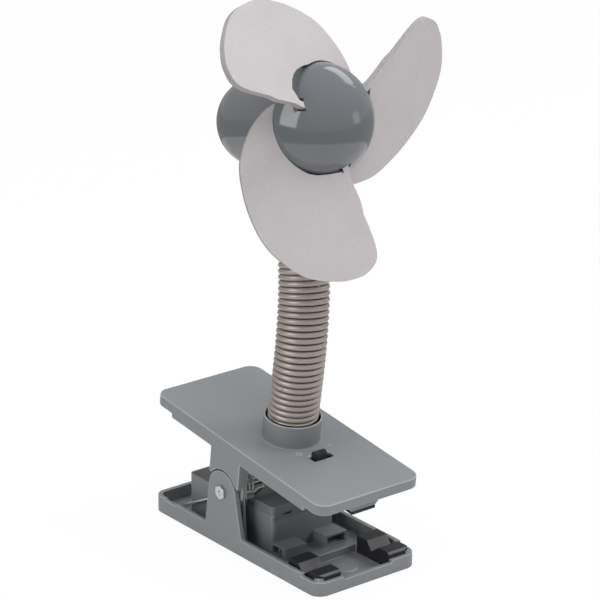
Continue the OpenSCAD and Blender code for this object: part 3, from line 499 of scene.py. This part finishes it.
def dressed(node, width, segments=2, degrees=30, cutters=(), edge=None):
    """A copy of a solid with its sharp edges rounded, which stands for the solid. An edge finish paints a
    highlight on the rounded faces.
    """
    mesh = bpy.data.meshes.new(node + "_dressed")
    shape = bmesh.new()
    shape.from_mesh(frame["nodes"][node].data)
    shape.to_mesh(mesh)
    shape.free()
    clean(mesh, MERGE)
    piece = new_piece(node + "_dressed", mesh, FINISHES[SLOT_OF[node]])
    if cutters:
        cut_away(piece, cutters)
        clean(piece.data, CUT_MERGE)
    round_off = piece.modifiers.new("round_off", "BEVEL")
    round_off.width = width * MILLI
    round_off.segments = segments
    round_off.limit_method = "ANGLE"
    round_off.angle_limit = math.radians(degrees)
    round_off.use_clamp_overlap = node not in FULL_WIDTH
    round_off.miter_outer = "MITER_ARC"
    if node == "lower_jaw":
        weigh_edges(piece.data, degrees)
        round_off.limit_method = "WEIGHT"
    # The rounded faces get the second finish: a painted highlight along the edges.
    if edge:
        piece.data.materials.append(edge)
        round_off.material = 1
    freeze(piece)
    smooth(piece.data)
    level = piece.modifiers.new("level", "WEIGHTED_NORMAL")
    level.keep_sharp = True
    freeze(piece)
    stands_for(piece, node)
    return piece


def second_finish(piece, finish, wanted):
    """Gives the faces whose normal is wanted a second finish."""
    piece.data.materials.append(finish)
    for face in piece.data.polygons:
        if wanted(face.normal):
            face.material_index = 1


# The faces that get the pads' painted highlight.
def painted_highlight_slope(normal):
    return normal.x > SLOPE_FORWARD and normal.z > SLOPE_UP


def dress_clip():
    """Rounds the clip's pieces. The other solids are only shaded smooth."""
    for node, width in ROUNDING.items():
        piece = dressed(node, width, edge=EDGE_HIGHLIGHTS.get(node))
        if node.startswith("grip_pad"):
            # The pads' forward and upward slopes get a painted highlight.
            second_finish(piece, PADS_PAINTED_HIGHLIGHT, painted_highlight_slope)
    for node, solid in frame["nodes"].items():
        if node not in ROUNDING:
            smooth(solid.data)


# Motor housing and hub dome
HOUSING_FIT, HOUSING_FLAT = 1.05, 0.1
DOME_RINGS, DOME_SIDES = 36, 144
# The tongues' slots, on each blade's plane: outward and across it, and half their width
SLOT_OUT, SLOT_ACROSS, SLOT_HALF = (11.5, 27.0), (-6.7, -1.9), 1.4
# Edges sharper than this, in degrees, stay sharp in the shading.
GLOSSY_ANGLE = 30


def fitted_housing(node):
    """A housing shell brought out to the real one's girth, with its seams where they were."""
    mesh = frame["nodes"][node].data.copy()
    mesh.name = node + "_fitted"
    clean(mesh, MERGE, HOUSING_FLAT)
    into_head = (Matrix.Scale(MILLI, 4) @ HEAD).inverted()
    mesh.transform(into_head)
    for spot in mesh.vertices:
        spot.co.y *= HOUSING_FIT
        spot.co.z *= HOUSING_FIT
        if spot.co.x < REAR_DOME_X:
            spot.co.x = REAR_DOME_X + (spot.co.x - REAR_DOME_X) * HOUSING_FIT
    mesh.transform(into_head.inverted())
    piece = new_piece(node + "_fitted", mesh)
    smooth(mesh, GLOSSY_ANGLE)
    stands_for(piece, node)


def dome_skin(shape, middle, radius):
    """One skin of the dome, from its pole to its rim, and the rim's points."""
    last = math.acos(-middle / radius)
    pole = shape.verts.new((middle + radius, 0, 0))
    rings = []
    for k in range(1, DOME_RINGS + 1):
        turn = last * k / DOME_RINGS
        high, wide = middle + radius * math.cos(turn), radius * math.sin(turn)
        rings.append([shape.verts.new((high, wide * math.cos(math.tau * j / DOME_SIDES),
                                       wide * math.sin(math.tau * j / DOME_SIDES)))
                      for j in range(DOME_SIDES)])
    for j in range(DOME_SIDES):
        m = (j + 1) % DOME_SIDES
        shape.faces.new((pole, rings[0][j], rings[0][m]))
        for low, high in zip(rings, rings[1:]):
            shape.faces.new((low[j], high[j], high[m], low[m]))
    return rings[-1]


def hub_dome():
    """The dome's shell, slotted only for the blades' tongues."""
    sphere = (HUB_RADIUS ** 2 + HUB_HEIGHT ** 2) / (2 * HUB_HEIGHT)
    middle = HUB_HEIGHT - sphere
    shape = bmesh.new()
    outer = dome_skin(shape, middle, sphere)
    inner = dome_skin(shape, middle, sphere - HUB_WALL)
    for j in range(DOME_SIDES):
        m = (j + 1) % DOME_SIDES
        shape.faces.new((outer[j], inner[j], inner[m], outer[m]))
    mesh = closed_mesh("hub_dome_shell", shape, HEAD)
    piece = new_piece("hub_dome_shell", mesh, FINISHES["housing_plastic"])
    (near, far), (low, high) = SLOT_OUT, SLOT_ACROSS
    slot = [(near, low), (far, low), (far, high), (near, high)]
    cut_away(piece, [prism(f"slot_{k}", slot, SLOT_HALF, blade_frame(k)) for k in (1, 2, 3)])
    smooth(piece.data, GLOSSY_ANGLE)
    stands_for(piece, "hub_dome")


# Soft blades
TONGUE = [(8.0, 0.5), (20.6, -3.9)]
# Each blade's notch round the dome: its arc's radius, the angle from which the arc runs to the
# blade's root, and the points before it, outward and across the blade
NOTCHES = {
    1: (23.3, 38, [(25.4, -1.2), (26.1, 3.0), (25.6, 6.2), (24.4, 9.0), (22.4, 11.8), (20.2, 14.1)]),
    2: (19.6, -2, []),
    3: (23.0, 24, [(20.4, -1.6), (21.2, 3.0), (21.5, 7.0)]),
}
NOTCH_STEPS, NOTCH_HALF = 26, 6
# The rounding of a blade's edge: its width, its steps and the least angle that is rounded
PRESSED_WIDTH, PRESSED_SEGMENTS, PRESSED_ANGLE = 0.45, 3, 40
# The normals of a cut face and of the blade's own face have less than this cosine between them.
CUT_LEAN = 0.6


def make_blade(number):
    """A blade cut round the dome but for its tongue, with pressed edges and a darker cut edge."""
    deep, first, lead = NOTCHES[number]
    wide = deep / math.cos(BLADE_PITCH)
    turns = [math.radians(first + (180 - first) * k / NOTCH_STEPS) for k in range(NOTCH_STEPS + 1)]
    round_dome = lead + [(deep * math.cos(turn), wide * math.sin(turn)) for turn in turns]
    notch = prism("notch", round_dome + TONGUE, NOTCH_HALF, blade_frame(number))
    piece = dressed(f"blade_{number}", PRESSED_WIDTH, PRESSED_SEGMENTS, PRESSED_ANGLE, [notch])
    level = max(piece.data.polygons, key=lambda face: face.area).normal.copy()
    second_finish(piece, FOAM_EDGE, lambda normal: abs(normal.dot(level)) < CUT_LEAN)


# Neck coil

# The wire is thicker than the solids', whose turns keep a gap. Here they nearly touch.
COIL_WIRE = 1.19
COIL_START, COIL_END = ANCHOR_FLANGE + COIL_WIRE, 113.3
STEPS_PER_CURL, WIRE_SIDES = 26, 14
ROUND_ANGLE = 60
COIL_INPUTS = {
    "Middle": "NodeSocketGeometry", "Radius": "NodeSocketFloat", "Pitch": "NodeSocketFloat",
    "Wire": "NodeSocketFloat", "From": "NodeSocketFloat", "To": "NodeSocketFloat",
    "Steps": "NodeSocketInt", "Finish": "NodeSocketMaterial",
}


def coil_tree():
    """Winds a round wire about a middle line, between two places on it."""
    tree = bpy.data.node_groups.new("neck_coil", "GeometryNodeTree")
    coil = Nodes(tree)
    sockets = {name: tree.interface.new_socket(name, in_out="INPUT", socket_type=kind).identifier
               for name, kind in COIL_INPUTS.items()}
    tree.interface.new_socket("Coil", in_out="OUTPUT", socket_type="NodeSocketGeometry")
    given = {name: coil.add("NodeGroupInput", out=name) for name in COIL_INPUTS}

    trimmed = coil.add("GeometryNodeTrimCurve", {"mode": "LENGTH"},
                       {"Curve": given["Middle"], 4: given["From"], 5: given["To"]})
    fine = coil.add("GeometryNodeResampleCurve", inputs={"Curve": trimmed, "Count": given["Steps"]})
    run = coil.add("GeometryNodeSplineParameter", out="Length")
    angle = (run + given["From"]) / given["Pitch"] * math.tau
    tangent = coil.add("GeometryNodeInputTangent")
    across = coil.vector("CROSS_PRODUCT", tangent, (1.0, 0.0, 0.0))
    across = coil.add("ShaderNodeVectorMath", {"operation": "NORMALIZE"}, {0: across})
    forward = coil.vector("CROSS_PRODUCT", across, tangent)
    push = coil.vector("ADD", coil.scaled(forward, angle.math("COSINE")),
                       coil.scaled(across, angle.math("SINE")))
    wound = coil.add("GeometryNodeSetPosition",
                     inputs={"Geometry": fine, "Offset": coil.scaled(push, given["Radius"])})
    ring = coil.add("GeometryNodeCurvePrimitiveCircle",
                    inputs={"Resolution": WIRE_SIDES, "Radius": given["Wire"]})
    wire = coil.add("GeometryNodeCurveToMesh",
                    inputs={"Curve": wound, "Profile Curve": ring, "Fill Caps": True})
    real = coil.add("GeometryNodeRealizeInstances", inputs={0: wire})
    finished = coil.add("GeometryNodeSetMaterial", inputs={"Geometry": real, "Material": given["Finish"]})
    coil.add("NodeGroupOutput", inputs={0: finished})
    return tree, sockets


def coil_piece(name, tree, sockets, start, end):
    """One length of the coil, between two places along the neck."""
    holder = curve_holder(name, [NECK_LINE])
    wind = holder.modifiers.new("wind", "NODES")
    wind.node_group = tree
    values = {
        "Radius": (COIL_RADIUS - COIL_WIRE) * MILLI, "Pitch": COIL_PITCH * MILLI,
        "Wire": COIL_WIRE * MILLI, "From": start * MILLI, "To": end * MILLI,
        "Steps": round((end - start) / COIL_PITCH * STEPS_PER_CURL) + 1,
        "Finish": FINISHES["coil_coating"],
    }
    for key, value in values.items():
        wind[sockets[key]] = value
    piece = from_curve(holder, FINISHES["coil_coating"])
    smooth(piece.data, ROUND_ANGLE)
    return piece


def neck_coil():
    """The coil in one length for each joint."""
    tree, sockets = coil_tree()
    between = [JOINT_FIRST + JOINT_STEP * (k + 0.5) for k in range(NECK_JOINTS - 1)]
    ends = [COIL_START, *between, COIL_END]
    reach = JOINT_STEP / 2
    for k in range(NECK_JOINTS):
        piece = coil_piece(f"neck_coil_{k + 1}", tree, sockets, ends[k], ends[k + 1])
        here = JOINT_FIRST + JOINT_STEP * k
        tuple(along_neck(here - reach) * MILLI)
        tuple(along_neck(here + reach) * MILLI)
        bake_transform(piece)
        if k == 0:
            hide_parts("neck_coil")


# Clip spring
# The wire's half thickness, the radius of its turns and the gap under the rear leg's foot
SPRING_WIRE, SPRING_CURL, FOOT_GAP = 0.6, 5.0, 0.05
# The turns run inwards on each side, from the rear leg's place to the front leg's.
OUTER_Y, INNER_Y = 17.9, 12.0
CURL_TURNS, CURL_STEPS = 3, 72
# From the hinge, forwards and up: the front leg's bend, the rear leg's foot on the jaw's floor
# and the rear leg's bend before it
TIP = (10.4, 2.6)
FOOT = (-39.7, JAW_FLOOR + SPRING_WIRE + FOOT_GAP - HINGE_Z)
KNEE = (FOOT[0] + 18.5, FOOT[1] + 9.5)
# How far the front leg turns back, out and down past its bend
TURN_BACK, TURN_OUT, TURN_DOWN = 0.4, 2.2, 0.2
# The hooks over the upper jaw's pegs: their place, their lean, and their reach sideways
PEG_X, HOOK_Z, HOOK_LEAN = HINGE_X + 9.0, HINGE_Z + 1.3, 0.5
HOOK_START, HOOK_END = 16.4, 20.3
FRONT_BEND, REAR_BEND, BEND_STEPS, BEND_SHARE = 1.4, 2.0, 6, 0.45
# A corner whose half angle is past this, in radians, is straight.
STRAIGHT = 1.55
WIRE_ROUNDNESS = 4

CURL_FIRST = math.atan2(KNEE[1], KNEE[0]) + math.acos(SPRING_CURL / math.hypot(*KNEE))
CURL_LAST = (math.atan2(TIP[1], TIP[0]) - math.acos(SPRING_CURL / math.hypot(*TIP))
             + math.tau * CURL_TURNS)


def round_wire(name, points):
    """A round wire through points, with closed ends."""
    holder = curve_holder(name, [points])
    holder.data.bevel_depth = SPRING_WIRE * MILLI
    holder.data.bevel_resolution = WIRE_ROUNDNESS
    holder.data.use_fill_caps = True
    piece = from_curve(holder, FINISHES["spring_wire"])
    smooth(piece.data, ROUND_ANGLE)
    return piece


def rounded(points, radius):
    """The same line with its corners turned on a radius."""
    out = [np.array(points[0], float)]
    for corner in zip(points, points[1:], points[2:]):
        a, b, c = (np.array(p, float) for p in corner)
        u, v = unit(a - b), unit(c - b)
        half = math.acos(np.clip(u @ v, -1, 1)) / 2
        back = min(radius / math.tan(half) if half < STRAIGHT else 0,
                   np.linalg.norm(a - b) * BEND_SHARE, np.linalg.norm(c - b) * BEND_SHARE)
        start, end = b + u * back, b + v * back
        for k in range(BEND_STEPS + 1):
            t = k / BEND_STEPS
            out.append((1 - t) ** 2 * start + 2 * t * (1 - t) * b + t * t * end)
    out.append(np.array(points[-1], float))
    return out


def spring_curls(side):
    """The turns on one side, from the rear leg outside to the front leg inside."""
    points = []
    for k in range(CURL_STEPS + 1):
        share = k / CURL_STEPS
        angle = CURL_FIRST + (CURL_LAST - CURL_FIRST) * share
        points.append((HINGE_X + SPRING_CURL * math.cos(angle),
                       side * (OUTER_Y - (OUTER_Y - INNER_Y) * share),
                       HINGE_Z + SPRING_CURL * math.sin(angle)))
    return points


def spring_front(side):
    """A front end, from the turns to its hook over the peg."""
    tip_x, tip_z = HINGE_X + TIP[0], HINGE_Z + TIP[1]
    points = [spring_curls(side)[-1], (tip_x, side * INNER_Y, tip_z),
              (tip_x - TURN_BACK, side * (INNER_Y + TURN_OUT), tip_z - TURN_DOWN),
              (PEG_X + HOOK_LEAN, side * HOOK_START, HOOK_Z), (PEG_X, side * HOOK_END, HOOK_Z)]
    return rounded(points, FRONT_BEND)


def spring_rear():
    """Both rear legs and the bar that joins them, on the lower jaw's floor."""
    curl = spring_curls(1)[0]
    half = [(curl[0], OUTER_Y, curl[2])]
    half += [(HINGE_X + ahead, OUTER_Y, HINGE_Z + up) for ahead, up in (KNEE, FOOT)]
    other = [(x, -y, z) for x, y, z in reversed(half)]
    return rounded(half + other, REAR_BEND)


def clip_spring():
    """The rear legs rest, the front ends go with the upper jaw, and the turns join them."""
    rear = round_wire("clip_spring_rear", spring_rear())
    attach(rear, "lower_jaw")
    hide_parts("clip_spring")
    for side, word in ((-1, "near"), (1, "far")):
        front = round_wire(f"clip_spring_front_{word}", spring_front(side))
        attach(front, "upper_jaw")
        curls = round_wire(f"clip_spring_curls_{word}", spring_curls(side))
        HINGE_X * MILLI
        HINGE_Z * MILLI
        HINGE_X * MILLI
        HINGE_Z * MILLI
        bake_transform(curls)


# Switch marks
MARK_HALF, MARK_LIFT, CIRCLE_SIDES = 0.06, 0.02, 40
OFF_X, OFF_Y, OFF_RADIUS, OFF_HOLE = 16.8, -6.4, 1.25, 0.85
ON_X, ON_Y, ON_LENGTH, ON_WIDTH = 17.2, 9.4, 2.4, 0.44


def flat_mark(name, outlines, x, y):
    """A thin print on the plate, of one outline or of one with a hole."""
    holder = curve_holder(name, [[(*point, 0) for point in outline] for outline in outlines], closed=True)
    holder.data.dimensions = "2D"
    holder.data.fill_mode = "BOTH"
    holder.data.extrude = MARK_HALF * MILLI
    piece = from_curve(holder, MARK)
    place = Matrix.Translation(Vector(on_plate(x, y, MARK_LIFT)) * MILLI)
    piece.data.transform(place @ Matrix.Rotation(PLATE_TILT, 4, "Y"))
    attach(piece, "upper_jaw")


def circle(radius):
    turns = [math.tau * k / CIRCLE_SIDES for k in range(CIRCLE_SIDES)]
    return [(radius * math.cos(turn), radius * math.sin(turn)) for turn in turns]


def switch_marks():
    flat_mark("mark_off", [circle(OFF_RADIUS), circle(OFF_HOLE)], OFF_X, OFF_Y)
    long, wide = ON_LENGTH / 2, ON_WIDTH / 2
    flat_mark("mark_on", [[(-long, -wide), (long, -wide), (long, wide), (-long, wide)]], ON_X, ON_Y)


# Studio, in metres
WHITE = grey(1.0)
SKY_LIGHT, SKY_MIRRORED = 0.14, 0.42
FLOOR_HALF, FLOOR_DROP = 3.0, 0.0002
# In reflections the floor is bright up to here and darker beyond.
TABLE_REACH, TABLE_LIGHT, ROOM_LIGHT = 0.345, 0.85, 0.3
# The camera sees the floor as plain white but for this much, which keeps the shadow.
SHADOW_SHARE = 0.06
MIDDLE, UPPER = (0.0, 0.0, 0.13), (0.0, 0.0, 0.17)
# Each lamp's place, aim, watts, width and height, and whether the gloss mirrors it
LAMPS = {
    "key_right": ((0.85, 1.15, 1.2), MIDDLE, 13, 0.9, 0.9, False),
    "window": ((-0.02, -1.17, 0.64), UPPER, 6.0, 0.84, 0.96, True),
    "back_strip": ((-0.42, 1.09, 0.9), UPPER, 1.9, 0.8, 0.45, True),
    "front_right": ((1.0, -0.2, 1.45), MIDDLE, 7.5, 0.7, 0.7, False),
    "right_glow": ((0.9, 1.06, 0.3), UPPER, 0.4, 0.4, 0.4, True),
    "top": ((-0.1, 0.0, 1.5), MIDDLE, 15, 1.0, 1.0, False),
}


def white_sky():
    """White to the camera and through glass, pale in reflections, and a soft light on the object."""
    world = bpy.data.worlds.new("studio")
    bpy.context.scene.world = world
    world.use_nodes = True
    sky = Nodes(world.node_tree)
    shown = sky.ray("Camera").math("MAXIMUM", sky.ray("Transmission")) + sky.ray("Glossy") * SKY_MIRRORED
    lit = sky.add("ShaderNodeBackground", inputs={"Color": WHITE, "Strength": SKY_LIGHT})
    plain = sky.add("ShaderNodeBackground", inputs={"Color": WHITE, "Strength": 1.0})
    blend = sky.add("ShaderNodeMixShader", inputs={0: shown, 1: lit, 2: plain})
    sky.add("ShaderNodeOutputWorld", inputs={"Surface": blend})


def floor():
    """A pale floor: white to the camera, with a faint trace of the object's shadow."""
    f = Finish("studio_floor")
    pale = f.mix(f.noise(3.0, 2.0), grey(0.86), grey(0.9))
    matt = f.add("ShaderNodeBsdfDiffuse", inputs={"Color": pale})
    glow = f.add("ShaderNodeEmission", inputs={"Color": WHITE, "Strength": 1.0})
    away = f.add("ShaderNodeVectorMath", {"operation": "LENGTH"}, {0: f.place()}, "Value")
    tone = f.mix(away.math("LESS_THAN", TABLE_REACH), grey(ROOM_LIGHT), grey(TABLE_LIGHT))
    table = f.add("ShaderNodeEmission", inputs={"Color": tone, "Strength": 1.0})
    seen = f.add("ShaderNodeMixShader", inputs={0: f.ray("Glossy"), 1: matt, 2: table})
    both = f.add("ShaderNodeMixShader", inputs={0: f.ray("Camera") * (1 - SHADOW_SHARE), 1: seen, 2: glow})
    f.add("ShaderNodeOutputMaterial", inputs={"Surface": both})
    mesh = bpy.data.meshes.new("floor")
    corners = [(x * FLOOR_HALF, y * FLOOR_HALF, -FLOOR_DROP) for x, y in ((-1, -1), (1, -1), (1, 1), (-1, 1))]
    mesh.from_pydata(corners, [], [(0, 1, 2, 3)])
    new_piece("floor", mesh, f.material)


def lamp(name, place, aim, watts, width, height, mirrored):
    data = bpy.data.lights.new(name, "AREA")
    data.energy = watts
    data.shape = "RECTANGLE"
    data.size = width
    data.size_y = height
    light = bpy.data.objects.new(name, data)
    light.location = place
    light.visible_glossy = mirrored
    light.rotation_euler = (Vector(aim) - Vector(place)).to_track_quat("-Z", "Y").to_euler()
    bpy.context.scene.collection.objects.link(light)


# The whole scene
def finish_solids():
    for node, solid in frame["nodes"].items():
        solid.data.materials.clear()
        solid.data.materials.append(FINISHES[SLOT_OF[node]])


finish_solids()
add_camera()
dress_clip()
fitted_housing("housing_rear")
fitted_housing("housing_front")
hub_dome()
for number in (1, 2, 3):
    make_blade(number)
neck_coil()
clip_spring()
switch_marks()
white_sky()
floor()
for name, row in LAMPS.items():
    lamp(name, *row)
bpy.context.scene.view_settings.view_transform = "Standard"
